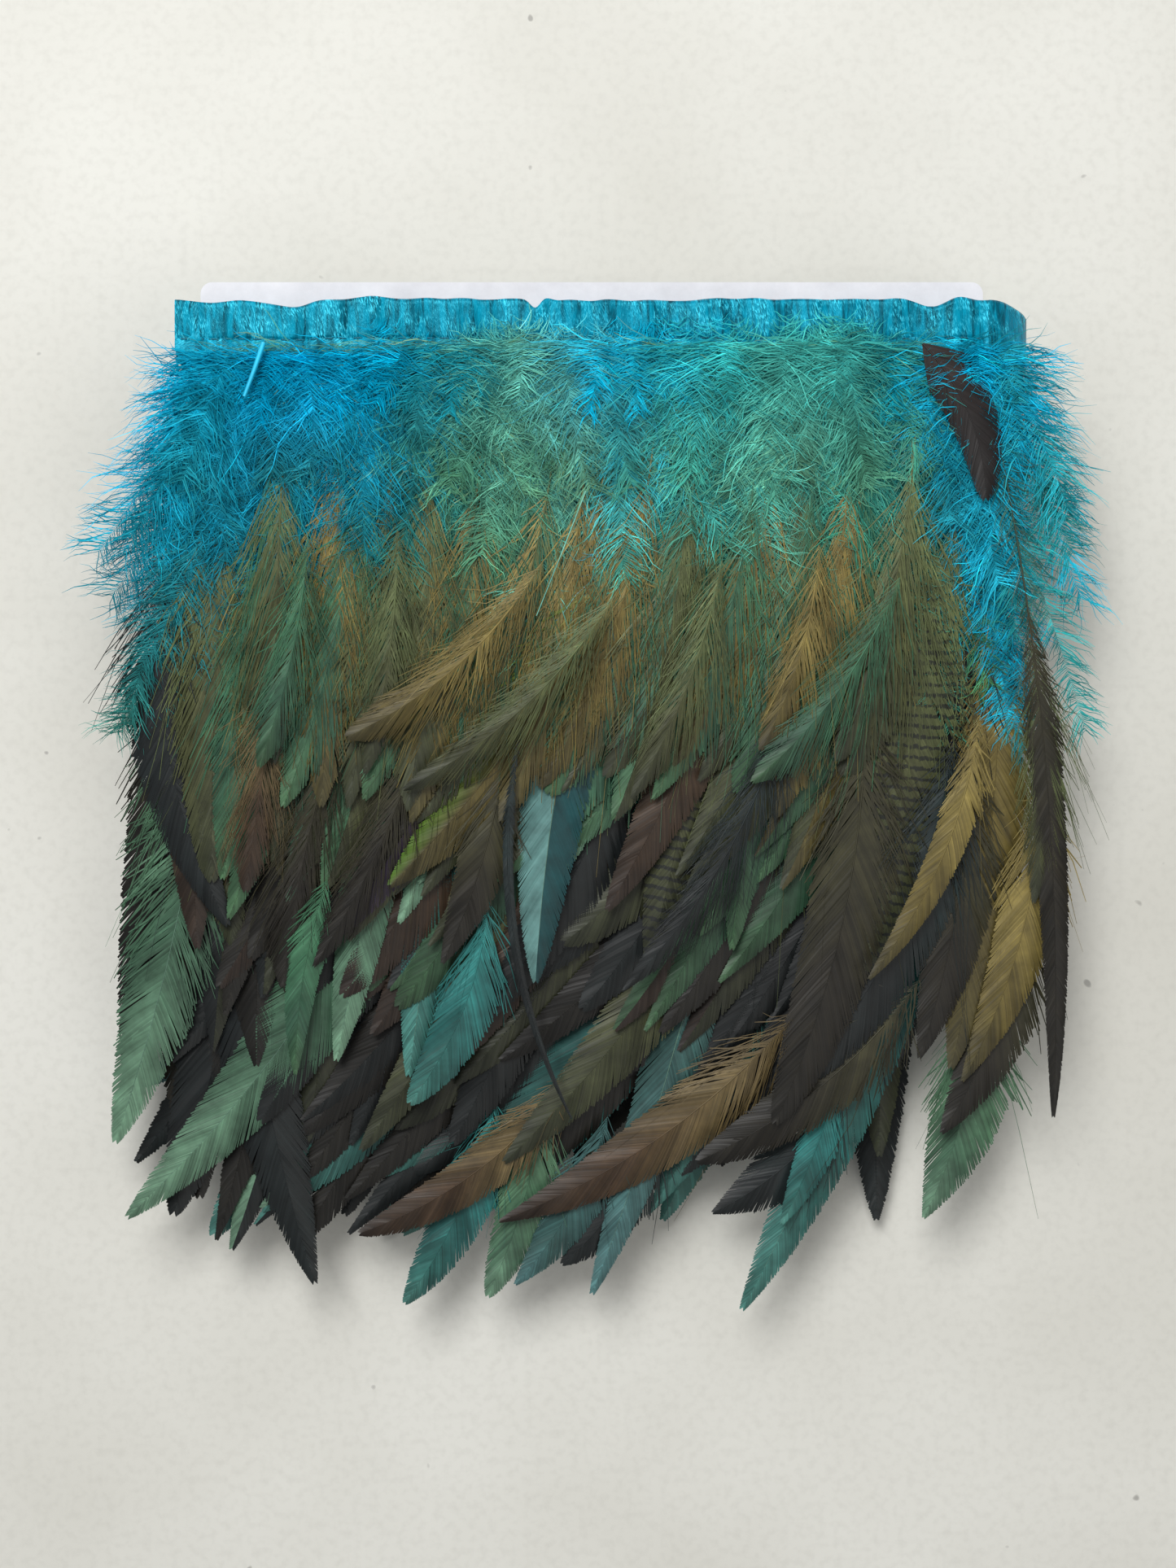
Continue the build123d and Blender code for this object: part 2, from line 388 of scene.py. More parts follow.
def add_barbs(batch, shaft, t, side, shape, barbs, root_dye, tip_dye, reach):
    """Barbs set along both sides of a shaft.

    shaft gives points, headings and the distance along it at t. barbs holds each
    barb's length, angle, curl, width, lift and louvre. reach is the widest barb,
    which sets its feather's cell in the atlas.
    """
    along, across, faces = shape
    point, heading, distance = shaft(t)
    sideways = np.stack([-heading[:, 1], heading[:, 0], np.zeros(len(t))], 1)
    sideways *= side[:, None]
    cos, sin = np.cos(barbs["angle"])[:, None], np.sin(barbs["angle"])[:, None]
    start = heading * cos + sideways * sin
    u = along[None, :, None]
    length = barbs["length"][:, None, None]
    curl = barbs["curl"][:, None, None]
    spots = point[:, None] + length * (
        start[:, None] * u + heading[:, None] * curl * u**2 / 2
    )
    run = start[:, None] + heading[:, None] * curl * u
    run /= np.linalg.norm(run[..., :2], axis=-1, keepdims=True)
    normal = np.stack([-run[..., 1], run[..., 0], np.zeros(run.shape[:2])], -1)
    w = across[None, :, None]
    ripple = np.sin(barbs["phase"][:, None] + along[None] * 7.5) * along[None]
    spots = spots + normal * (ripple * (barbs["length"] * barbs["wave"])[:, None])[..., None]
    spots = spots + normal * w * barbs["width"][:, None, None]
    spots[..., 2] += barbs["lift"][:, None] * along[None] ** 2
    spots[..., 2] += barbs["louvre"][:, None] * across[None] * side[:, None]
    forward = along[None] * cos + curl[..., 0] * along[None] ** 2 / 2
    forward = distance[:, None] + barbs["length"][:, None] * forward
    out = barbs["length"][:, None] * along[None] * sin * side[:, None]
    vane = np.stack([out, forward], -1) * 0.01
    whole = distance.max() + reach
    atlas = np.stack(
        [
            (batch.cell + 0.5 + 0.46 * np.clip(out / reach, -1, 1)) / batch.cells,
            0.01 + 0.98 * np.clip(forward / whole, 0, 1),
        ],
        -1,
    )
    mix = u**0.8
    dye = root_dye[:, None] * (1 - mix) + tip_dye[:, None] * mix
    copies = np.arange(len(t))[:, None, None] * len(along) + faces[None]
    facing = sideways[:, None] * (0.1 + 0.35 * u) + heading[:, None] * 0.12
    soft = np.broadcast_to(facing + (0, 0, 1.0), spots.shape) + barbs["tilt"][:, None]
    batch.add(spots, dye, vane, atlas, soft, copies)


def bowed_shaft(quill_x, tip_x, tip_y, bow, z, slope, curl_up=0.0, root_y=ROOT_Y):
    """A shaft that bows sideways on its way from the tape to its tip."""
    start = np.array([quill_x, root_y])
    end = np.array([tip_x, tip_y])
    along = (end - start) / np.linalg.norm(end - start)
    middle = (start + end) / 2 - np.array([-along[1], along[0]]) * 2 * bow
    steps = np.linspace(0, 1, 60)[:, None]
    line = start * (1 - steps) ** 2 + middle * 2 * steps * (1 - steps) + end * steps**2
    return settled_shaft(line, z, slope, curl_up, root_y)


def swept_shaft(x, y, length, heading, turn, z, slope, curl_up=0.0):
    """A shaft that sets out at one heading from straight down, and turns as it goes."""
    steps = np.linspace(0, 1, 60)
    angles = heading + turn * steps**1.5
    dx = np.cumsum(np.sin(angles)) * length / 60
    dy = np.cumsum(-np.cos(angles)) * length / 60
    line = np.stack([x + dx - dx[0], y + dy - dy[0]], 1)
    return settled_shaft(line, z, slope, curl_up, y)


def settled_shaft(line, z, slope, curl_up, root_y):
    """Give a flat line its height: it falls with its pass and may curl up at the tip."""
    steps = np.linspace(0, 1, len(line))
    height = z + slope * (line[:, 1] - root_y) + curl_up * steps**3
    points = np.concatenate([line, height[:, None]], 1)
    gaps = np.linalg.norm(np.diff(points, axis=0), axis=1)
    distance = np.concatenate([[0], np.cumsum(gaps)])

    def spot(at):
        """Where the shaft is at a distance along it."""
        return np.stack([np.interp(at, distance, points[:, i]) for i in range(3)], 1)

    def shaft(t):
        at = t * distance[-1]
        before, after = np.clip(at - 1, 0, distance[-1]), np.clip(at + 1, 0, distance[-1])
        heading = spot(after) - spot(before)
        heading /= np.linalg.norm(heading, axis=1, keepdims=True)
        return spot(at), heading, at

    return shaft


def add_shaft(batch, shaft, t_from, t_to, radius, dye, rings=11, taper=0.86):
    """The shaft itself: a four-sided rod that tapers to a hair."""
    t = np.linspace(t_from, t_to, rings)
    point, heading, distance = shaft(t)
    sideways = np.stack([-heading[:, 1], heading[:, 0], np.zeros(rings)], 1)
    up = np.array([0, 0, 1.0])
    size = (radius * (1 - taper * np.linspace(0, 1, rings)))[:, None]
    corners = [sideways * size, up * size, -sideways * size, -up * size * 0.6]
    spots = np.stack([point + corner for corner in corners], 1)
    i = np.arange(rings - 1)[:, None]
    j = np.arange(4)[None]
    faces = np.stack(
        [i * 4 + j, (i + 1) * 4 + j, (i + 1) * 4 + (j + 1) % 4, i * 4 + (j + 1) % 4], -1)
    colour = np.repeat(dyed(dye, t)[:, None], 4, 1)
    vane = np.stack([np.zeros((rings, 4)), np.repeat(distance[:, None], 4, 1)], -1)
    whole = distance.max() * 1.1
    atlas = np.stack(
        [
            np.full((rings, 4), (batch.cell + 0.5) / batch.cells),
            0.01 + 0.98 * vane[..., 1] / whole,
        ],
        -1,
    )
    soft = np.stack([np.broadcast_to(corner, (rings, 3)) for corner in corners], 1)
    batch.add(spots, colour, vane * 0.01, atlas, soft, faces[..., ::-1].reshape(-1, 4))


def uneven(rng, count, spread):
    """Smooth random values along a feather, for clumps of barbs that lie alike."""
    knots = rng.normal(0, spread, max(3, count // 7) + 2)
    return np.interp(np.linspace(0, 1, count), np.linspace(0, 1, len(knots)), knots)


def add_vane(batch, rng, shaft, length, width, dye, pitch=0.8, blade_from=0.3,
             loose=0.3, splits=2, edge=None, sides=None, shade=0.15, point=0.8, dim=1.0, neck=0.05,
             spread=37):
    """The vane: close-set barbs, loose and downy at first, then lying edge to edge."""
    count = int(length * (1 - blade_from) / pitch)
    t = np.tile(np.linspace(blade_from, 0.995, count), 2)
    side = np.repeat([1.0, -1.0], count)
    s = (t - blade_from) / (1 - blade_from)
    free = np.clip(1 - s / loose, 0, 1) if loose else np.zeros(2 * count)
    angle = np.radians(spread - spread / 3 * s - 8 * free) + rng.normal(0, 0.012, 2 * count)
    angle += rng.normal(0, 0.2, 2 * count) * free
    for each in (1.0, -1.0):
        for start in rng.uniform(blade_from + 0.15, 0.95, rng.poisson(splits)):
            beyond = (t - start) * length
            inside = (side == each) & (beyond > 0)
            angle[inside] += rng.uniform(0.06, 0.2) * np.exp(-beyond[inside] / 9)
    angle = np.clip(angle, 0.25, 1.3)
    short, size = np.zeros(2 * count), np.full(2 * count, width * 2.5)
    for _ in range(16):  # how far each barb goes to meet the blade's outline
        middle = (short + size) / 2
        reach = (t * length + middle * (np.cos(angle) + 0.08)) / (length + 1)
        x = np.clip((reach - blade_from) / (1 - blade_from), 0, 1)
        outline = width / 2 * np.clip(x / 0.2, neck, 1) ** 0.7 * (1 - x**3) ** point
        inside = middle * np.sin(angle) < outline
        short = np.where(inside, middle, short)
        size = np.where(inside, size, middle)
    size = size * (1 + 0.02 * rng.normal(0, 1, 2 * count)) + 0.3
    size = size * (1 + free * rng.uniform(-0.4, 0.7, 2 * count))
    clumps = np.concatenate([uneven(rng, count, 1), uneven(rng, count, 1)])
    barbs = {
        "angle": angle,
        "length": size,
        "curl": 0.16 + free * rng.normal(0, 0.5, 2 * count),
        "width": (pitch * np.sin(angle) * 1.9) * (1 - 0.7 * free),
        "lift": rng.uniform(-0.6, 0.3) + free * rng.uniform(-0.5, 3.0, 2 * count),
        "louvre": np.full(2 * count, 0.22),
        "wave": 0.04 * free,
        "phase": rng.uniform(0, 6.3, 2 * count),
        "tilt": rng.normal(0, 0.05, (2 * count, 3)) + clumps[:, None] * (0.07, 0.03, 0),
    }
    colour = dyed(dye, t)
    if sides:
        for each, stops in zip((1.0, -1.0), sides):
            colour[side == each] = dyed(stops, t[side == each])
    tone = np.exp(rng.normal(0, shade, 2 * count) + 0.13 * clumps)
    # Scaled by dim: below 1 it is painted shade, darkening rows that lie under others; above 1 it
    # lightens the top rows
    colour = colour * tone[:, None] * dim
    tip = colour * 0.85
    if edge:
        tip = np.where(
            (side == edge[0])[:, None], colour * 0.3 + np.array(linear(edge[1])) * 0.7, tip)
    add_barbs(batch, shaft, t, side, VANE_BARB, barbs, colour, tip, width * 1.1)


def add_down(batch, rng, shaft, length, reach, root, end, t_to=1.0, pitch=0.5,
             rise=1.0, thin=0.17, t_from=0.0):
    """Down: long wavy barbs in tufts that wander off the shaft, root to end dyes."""
    count = max(6, int(length * (t_to - t_from) / pitch))
    t = np.tile(np.linspace(t_from, t_to, count), 2)
    side = np.repeat([1.0, -1.0], count)
    tufts = [np.concatenate([uneven(rng, count, 1), uneven(rng, count, 1)]) for _ in range(3)]
    size = reach * (0.75 + 0.2 * tufts[0] + rng.uniform(-0.25, 0.25, 2 * count))
    size = np.clip(size * (1 - 0.45 * (t - t_from) / (t_to - t_from)), 2, None)
    barbs = {
        "angle": np.radians(50 + 12 * tufts[1] + rng.normal(0, 9, 2 * count)
                            + 38 * np.clip(1 - t * length / 12, 0, 1)),
        "length": size,
        "curl": -0.1 - 0.25 * tufts[2] + rng.normal(0, 0.3, 2 * count) + 0.5,
        "width": thin * rng.uniform(0.6, 1.7, 2 * count),
        "lift": rise * (rng.uniform(-0.5, 0.9, 2 * count) + 0.3 * tufts[2]) * size * 0.22,
        "louvre": rng.normal(0, 0.08, 2 * count),
        "wave": rng.uniform(0.03, 0.11, 2 * count),
        "phase": rng.uniform(0, 6.3, 2 * count),
        "tilt": rng.normal(0, 0.12, (2 * count, 3)) + tufts[1][:, None] * (0.2, 0.12, 0),
    }
    tone = 1.14 * np.exp(rng.normal(0, 0.2, 2 * count) + 0.26 * tufts[0])[:, None]
    share = (t**1.3)[:, None]
    base = (root * (1 - share) + end * share) * tone
    far = (root * (1 - share) * 0.7 + end * (0.3 + 0.7 * share)) * tone * 1.1
    add_barbs(batch, shaft, t, side, DOWN_BARB, barbs, base, far, reach * 1.2)


# Dyes along a feather from quill to tip
TEAL = [(0, "#0B8FA8"), (0.35, "#2A7672"), (0.6, "#225854"), (0.85, "#2F655E"), (1, "#487E74")]
SLATE = [(0, "#1A7E90"), (0.35, "#38605E"), (0.7, "#325450"), (1, "#4C7474")]
SAGE = [(0, "#2A8C90"), (0.35, "#507658"), (0.7, "#3E604A"), (1, "#6C9076")]
OLIVE = [(0, "#2E8074"), (0.3, "#5F6A42"), (0.6, "#474A2C"), (1, "#2E3222")]
GOLD = [(0, "#3E8A6E"), (0.3, "#857640"), (0.65, "#605428"), (1, "#3E3A22")]
BRONZE = [(0, "#2E7568"), (0.3, "#675838"), (0.6, "#463422"), (1, "#2A2019")]
BLACK = [(0, "#1A5E64"), (0.25, "#202C2C"), (0.6, "#121819"), (1, "#191F1F")]
BROWN = [(0, "#20584E"), (0.3, "#383622"), (0.6, "#1F1B12"), (1, "#191711")]
GREEN = [(0, "#128A8E"), (0.35, "#3C6C4E"), (0.7, "#305440"), (1, "#3C5C3E")]
SOOT = [(0, "#2B2422"), (0.5, "#1F1A19"), (1, "#1A1716")]
PALE_SHAFT = [(0, "#5FC0CC"), (0.5, "#668870"), (1, "#5E7E72")]

# The named feathers of the outer pass, the same line as their CAD nodes:
# quill x, tip x, tip y, width, bow, dye
FRONT_FEATHERS = {
    "teal_tail_feather": (92, 36, -254, 22, -16, TEAL),
    "slate_tail_feather": (44, -2, -250, 18, -10, SLATE),
    "blue_black_sickle_feather": (-84, -72, -247, 24, 14, BLACK),
    "sage_split_feather": (-95, -122, -211, 17, -9, SAGE),
    "long_sage_feather": (-26, -119, -230, 25, -24, SAGE),
    "olive_brown_sweep_feather": (62, -24, -216, 22, -22, OLIVE),
    "olive_leaf_feather": (4, -60, -213, 20, -16, OLIVE),
    "turquoise_tipped_feather": (-37, -48, -194, 18, -4, TEAL),
    "curled_sage_feather": (-48, -66, -190, 17, -4, SAGE),
    "gold_olive_feather": (95, 88, -192, 20, -8, GOLD),
    "dark_edge_feather": (-90, -93, -156, 18, 18, BLACK),
    "green_round_feather": (40, 33, -162, 15, -3, GREEN),
    "barred_middle_feather": (30, 12, -166, 20, -5, OLIVE),
    "barred_right_feather": (78, 66, -168, 22, -6, OLIVE),
    "violet_feather": (-6, -66, -159, 20, -8, BROWN),
    "red_brown_feather": (50, 2, -152, 17, -6, BRONZE),
    "two_tone_slate_feather": (16, -16, -170, 19, 6, SLATE),
    "green_edged_olive_feather": (18, -52, -146, 21, -10, GOLD),
    "brown_streamer_feather": (96, 113, -204, 6, -6, BROWN),
    "short_black_feather": (79.5, 95, -50, 10, -4, SOOT),
}
VIOLET = [(0, "#2E6A78"), (0.4, "#40404A"), (0.7, "#44344E"), (1, "#2A2830")]
PALE_SLATE = [(0, "#4F8A88"), (0.5, "#5A8682"), (1, "#628C88")]
DEEP_TEAL = [(0, "#1F6A70"), (0.5, "#124A4E"), (1, "#103C3E")]
LIGHT_EDGE = {"green_edged_olive_feather": (-1.0, "#4C7A14")}


def place(batch, name, material, body, slot, *nodes):
    """Make the batch an object that rides on a body and stands for CAD nodes."""
    piece = batch.mesh_object(name, material)
    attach(piece, body)
    if nodes:
        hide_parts(*nodes)
    return piece


def feather(batch, rng, shaft, length, width, dye, downy=0.32, reach=13, bare_shaft=0.2,
            **vane):
    """A whole feather: vane, shaft, and down at its base."""
    shaft_dye = PALE_SHAFT if dye in (TEAL, SLATE, SAGE) else dye
    add_vane(batch, rng, shaft, length, width, dye, **vane)
    add_shaft(batch, shaft, bare_shaft, 0.95, 0.3, shaft_dye)
    if downy:
        root = np.array(linear(dye[0][1]))
        end = np.array(linear(dye[1][1]))
        add_down(batch, rng, shaft, length, reach, root, end, t_to=downy, pitch=0.8)


FRONT_BASE = height_of("front_outer_tape")[0] - 3.0  # the level of the lowest row
FEATHER_PITCH = 0.42  # each named feather lies this much above the last
for number, (name, row) in enumerate(FRONT_FEATHERS.items()):
    quill_x, tip_x, tip_y, width, bow, dye = row
    z = FRONT_BASE + 2.0 + FEATHER_PITCH * number
    if name == "short_black_feather":
        z = height_of("front_outer_down_middle")[1] - 3.0
        root_y = -12.5
    else:
        root_y = ROOT_Y
    shaft = bowed_shaft(quill_x, tip_x, tip_y, bow, z, FRONT_SLOPE, 1.5, root_y)
    length = math.hypot(tip_x - quill_x, tip_y - ROOT_Y) * 1.03
    extra = {"edge": LIGHT_EDGE.get(name), "pitch": 0.55}
    if name == "two_tone_slate_feather":
        extra.update(sides=(DEEP_TEAL, PALE_SLATE), splits=1, shade=0.04, loose=0.15)
    if name == "violet_feather":
        extra["sides"] = (VIOLET, BROWN)
    if name == "sage_split_feather":
        extra.update(splits=16, loose=0.8, width=26)
    if name == "short_black_feather":
        extra.update(blade_from=0.0, loose=0, downy=0, width=13, splits=0, shade=0.03,
                     neck=0.9, point=0.5, pitch=0.4)
    if name == "brown_streamer_feather":
        extra["width"] = 8
    rng = np.random.default_rng(100 + number)
    batch = Batch()
    feather(batch, rng, shaft, length, extra.pop("width", width), dye, bare_shaft=0.0, **extra)
    place(batch, name + "_barbs", BARRED if name.startswith("barred") else VANE,
          "outer_pass", slot_of[name], name)

# More feathers of the outer pass that show, on their own:
# start x and y, tip x and y, bow, width, dye, level above the lowest row
SHOWN_FEATHERS = [
    (50, -178, -25, -231, -6, 17, BRONZE, 4.0),
    (80, -170, 25, -215, -5, 16, BROWN, 7.5),
    (62, -200, 29, -229, -3, 18, BLACK, 3.5),
    (60, -196, 46, -231, -1, 10, TEAL, 5.0),
    (95, -170, 82, -230, -4, 22, SAGE, 3.0),
    (107, -150, 86, -208, -4, 18, BROWN, 5.5),
    (94, -104, 67, -169, -5, 9, GOLD, 12.0),
    (66, -100, 44, -205, -6, 21, BROWN, 8.6),
    (88, -110, 50, -196, -7, 20, BLACK, 8.0),
    (48, -96, 6, -172, -6, 15, BLACK, 11.0),
    (74, -70, 38, -120, -4, 17, GREEN, 12.5),
    (-68, -145, -76, -193, 2, 9, GREEN, 9.0),
    (-28, -150, -47, -200, -4, 15, TEAL, 8.4),
    (-8, -195, -60, -234, -5, 13, BRONZE, 4.6),
    (-26, -200, -49, -252, -3, 15, TEAL, 2.2),
    (-14, -200, -28, -250, -2, 14, SAGE, 2.6),
    (2, -205, -21, -247, -3, 14, SLATE, 2.9),
    (16, -205, -9, -242, -3, 15, BLACK, 2.4),
    (-20, -110, -7, -204, 8, 2.2, BLACK, 12.6),
    (-84, -80, -92, -161, 4, 16, OLIVE, 5.6),
    (-80, -90, -88, -147, 0, 14, BRONZE, 9.2),
    (-62, -96, -79, -171, 2, 18, BROWN, 8.2),
    (-40, -90, -71, -166, -4, 18, BROWN, 9.6),
    (-14, -66, -62, -109, -5, 16, GOLD, 13.0),
    (4, -74, -48, -122, -5, 14, OLIVE, 12.8),
    (-24, -116, -39, -165, -2, 14, BROWN, 9.9),
    (110, -120, 91, -195, -5, 16, GOLD, 7.8),
    (92, -116, 80, -189, -3, 18, BROWN, 7.2),
    (106, -84, 108, -150, -3, 14, OLIVE, 9.4),
    (-72, -60, -84, -116, -2, 14, GREEN, 11.8),
    (-50, -58, -58, -118, -2, 15, OLIVE, 11.2),
    (30, -66, 8, -124, -3, 17, OLIVE, 12.4),
    (54, -62, 40, -112, -3, 14, GOLD, 12.2),
]
rng = np.random.default_rng(5)
shown = Batch(cells=len(SHOWN_FEATHERS))
for i, (x, y, tip_x, tip_y, bow, width, dye, level) in enumerate(SHOWN_FEATHERS):
    shown.cell = i
    z = FRONT_BASE + level + FRONT_SLOPE * (y - ROOT_Y)
    shaft = bowed_shaft(x, tip_x, tip_y, bow, z, FRONT_SLOPE, rng.uniform(0, 2), root_y=y)
    length = math.hypot(tip_x - x, tip_y - y) * 1.02
    feather(shown, rng, shaft, length, width, [(0, dye[1][1])] + dye[1:], downy=0,
            blade_from=0.0, point=rng.uniform(0.6, 1.1),
            **({"loose": 0.9, "splits": 3, "spread": 25, "pitch": 0.45} if y > -100 else
               {"loose": 0.3, "splits": 1, "pitch": 0.55}))

# A bare quill and a bare shaft that lie on the down: start, tip, half thickness and dye
BARE_QUILLS = [
    (-82.5, -12.6, -87.3, -25.8, 0.7, "#22C0E8"),
    (-3.5, -49, -15.6, -79.6, 0.18, "#7CC0AC"),
]
quill_z = height_of("front_outer_down_middle")[1] - 0.6
for x, y, tip_x, tip_y, radius, colour in BARE_QUILLS:
    shaft = bowed_shaft(x, tip_x, tip_y, -0.1, quill_z, FRONT_SLOPE * 0.5, root_y=y)
    add_shaft(shown, shaft, 0.0, 1.0, radius, [(0, colour)], taper=0.3)
place(shown, "front_outer_shown_feathers", VANE, "outer_pass", "olive_vane")

# --------------------------------------------------- the rest of the fringe

LONG_DYES = [BLACK, SLATE, BROWN, TEAL, BLACK, BROWN, SAGE, BLACK, BROWN, TEAL, BLACK]
LOW_DYES = [BLACK, BROWN, BLACK, BROWN, OLIVE, BLACK, BRONZE, BROWN, BLACK]
MID_DYES = [BROWN, OLIVE, BRONZE, BROWN, BLACK, OLIVE, BROWN, BRONZE, GREEN, BLACK]
TOP_DYES = [OLIVE, GREEN, GOLD, OLIVE, GREEN, GOLD, GREEN, OLIVE, SAGE]
SHORT_DYES = [OLIVE, GOLD, GREEN, GOLD, GREEN, GREEN, OLIVE, OLIVE, GOLD]


def sweep_at(x):
    """How far feathers strung here have turned to the left at their tips, in radians."""
    return np.interp(x, [-110, -85, -50, 0, 50, 100], [-0.15, -0.1, 0.4, 0.8, 0.85, 0.55])


def length_at(x):
    """Feathers are longest a little left of the middle."""
    return np.interp(x, [-105, -60, 0, 60, 100], [0.86, 0.95, 1.04, 1.0, 0.9])


def fringe_row(name, body, slot, rng, count, x_from, x_to, length, z, dyes, slope,
               width=20, turn=1.0, rise=0.05, bare=False, **vane):
    """A row of feathers strung along the tape, lying over each other like tiles."""
    batch = Batch(cells=count)
    for i in range(count):
        batch.cell = i
        x = x_from + (x_to - x_from) * (i + rng.uniform(0.1, 0.9)) / count
        size = length * length_at(x) * rng.uniform(0.92, 1.06)
        heading = -0.05 * turn + rng.normal(0, 0.05)
        bend = -turn * sweep_at(x) * rng.uniform(0.75, 1.25) + rng.normal(0, 0.06)
        level = z + rise * (i % 7) + rng.uniform(0, 0.8)
        shaft = swept_shaft(x, -12, size, heading, bend, level, slope, rng.uniform(0, 2.5))
        dye = dyes[rng.integers(len(dyes))]
        wide = width * rng.uniform(0.8, 1.15)
        other = dyes[rng.integers(len(dyes))]
        feather(batch, rng, shaft, size, wide, dye, downy=0 if bare else 0.3,
                sides=(dye, other) if rng.random() < 0.3 else None,
                point=rng.uniform(0.55, 1.1), **vane)
    return place(batch, name, VANE, body, slot)


def front_row(name, slot, seed, count, length, level, dyes, half_row=98, **options):
    """A row of the outer pass."""
    fringe_row(name, "outer_pass", slot, np.random.default_rng(seed), count, -half_row,
               half_row, length, FRONT_BASE + level, dyes, FRONT_SLOPE, **options)


# Rows that lie under others are darkened with dim as painted shade; the two top rows are lightened
front_row("front_outer_long_feathers", "black_vane", 7, 34, 236, 0, LONG_DYES, width=22,
          bare=True, blade_from=0.45, dim=0.72)
front_row("front_outer_lower_feathers", "black_vane", 8, 34, 208, 2, LOW_DYES, width=22,
          bare=True, blade_from=0.4, dim=0.55)
front_row("front_outer_middle_feathers", "olive_vane", 9, 32, 180, 4.2, MID_DYES, width=21,
          bare=True, blade_from=0.35, turn=0.9, dim=0.8)
front_row("front_outer_upper_feathers", "olive_vane", 10, 32, 150, 6.6, TOP_DYES, width=19,
          turn=0.8, blade_from=0.3, loose=0.6, spread=28, splits=3, dim=1.2)
front_row("front_outer_short_feathers", "olive_vane", 11, 28, 118, 9.0, SHORT_DYES,
          half_row=84, width=19, turn=0.6, blade_from=0.3, loose=0.9, spread=24,
          splits=3, dim=1.2)

# ------------------------------------------------------------------- down

# Dyes of the down along the tape, x and colour: at its roots, lower down, and at the tips
# of its lowest row
DOWN_ROOTS = [
    (-120, "#1E8C9C"), (-98, "#0694BA"), (-75, "#0290BC"), (-55, "#048CB0"),
    (-36, "#1A8088"), (-15, "#5CA898"), (6, "#049EC2"), (30, "#2A9A9A"),
    (56, "#3A9A92"), (76, "#0E727C"), (93, "#0292BA"), (106, "#2A9AA4"), (120, "#3A9C96"),
]
DOWN_ENDS = [
    (-120, "#2E8A88"), (-100, "#147E92"), (-75, "#1E6268"), (-58, "#1C6C70"),
    (-36, "#3E7A5E"), (-10, "#5E8C6C"), (20, "#3A9484"), (50, "#5A8C70"),
    (76, "#3A846C"), (94, "#0A92B4"), (106, "#2C9090"), (120, "#3A9484"),
]
DOWN_TIPS = [
    (-120, "#2E7E7C"), (-95, "#2A6258"), (-80, "#2E6A62"), (-60, "#3E5A3C"),
    (-40, "#26746A"), (-20, "#6C6834"), (5, "#36826E"), (25, "#3C806C"), (45, "#5A7644"),
    (60, "#1E7E80"), (80, "#3E6C46"), (96, "#108CA8"), (108, "#2E8A7C"), (120, "#2E8A7C"),
]


def down_row(batch, rng, count, x_from, x_to, y, length, reach, z, slope,
             dyes=(DOWN_ROOTS, DOWN_ENDS), **down):
    """Downy feather bases strung along the tape, fanning out at the winding's ends."""
    for i in range(count):
        batch.cell = min(batch.cell + 1, batch.cells - 1)
        x = x_from + (x_to - x_from) * (i + rng.uniform(0.15, 0.85)) / count
        size = length * rng.uniform(0.75, 1.15)
        heading = np.interp(x, [-110, -90, -60, 60, 90, 110],
                            [-0.3, -0.14, -0.04, 0.0, 0.14, 0.3]) + rng.normal(0, 0.16)
        lower = 2.4 * np.clip(-(x + 20) / 50, 0, 1)  # more of the tape shows at the left
        shaft = swept_shaft(x, y - lower, size, heading, rng.normal(-0.1, 0.25),
                            z + rng.uniform(-1, 1), slope, rng.uniform(-2, 1))
        tone = np.exp(rng.normal(0, 0.14))
        spot = np.array([x + rng.normal(0, 5)])
        root, end = (dyed(stops, spot)[0] * tone for stops in dyes)
        add_down(batch, rng, shaft, size, reach, root, end, **down)


down_low = height_of("front_outer_down_middle")[0]
# The beds of down on the outer pass, from x to x
BEDS = {
    "left": (-102, -57), "middle_left": (-57, 1), "middle": (1, 52),
    "right_of_middle": (52, 74), "right": (84, 103),
}
for number, (part, (x_from, x_to)) in enumerate(BEDS.items()):
    rng = np.random.default_rng(40 + number)
    lower, upper = (DOWN_ENDS, DOWN_TIPS), (DOWN_ROOTS, DOWN_ENDS)
    rows = (  # feathers to the millimetre, their start, length, reach, level and dyes
        (0.34, -46, 76 if part == "middle" else 62, 13, down_low - 0.8, lower),
        (0.32, -16, 62, 17, down_low + 0.5, upper),
        (0.34, -14, 50, 17, down_low + 2.5, upper),
        (0.36, -12, 34, 15, down_low + 4.0, upper),
        (0.36, -13, 16, 8, down_low + 4.4, (DOWN_ROOTS, DOWN_ROOTS)),
    )
    counts = [max(3, int((x_to - x_from) * row[0])) for row in rows]
    batch = Batch(cells=sum(counts) + 1)
    for count, (_, y, length, reach, z, dyes) in zip(counts, rows):
        down_row(batch, rng, count, x_from, x_to, y, length, reach, z, FRONT_SLOPE,
                 dyes, pitch=0.42)
    if part.startswith("middle") or part == "right_of_middle":
        for x in rng.uniform(x_from, x_to, 24):  # wisps that have crept up over the tape
            shaft = swept_shaft(x, -12.4, rng.uniform(4, 8), rng.normal(math.pi, 0.7), 0.0,
                                TAPE_Z + rng.uniform(1.6, 2.6), 0.0)
            root = dyed(DOWN_ROOTS, np.array([x + rng.normal(0, 5)]))[0]
            add_down(batch, rng, shaft, 5, 6.5, root, root, pitch=0.7, rise=0.3)
    slot = "blue_down" if part in ("left", "right") else "teal_down"
    place(batch, f"front_outer_down_{part}_barbs", DOWN, "outer_pass", slot,
          f"front_outer_down_{part}")

# ------------------------------------------------------------------- tape

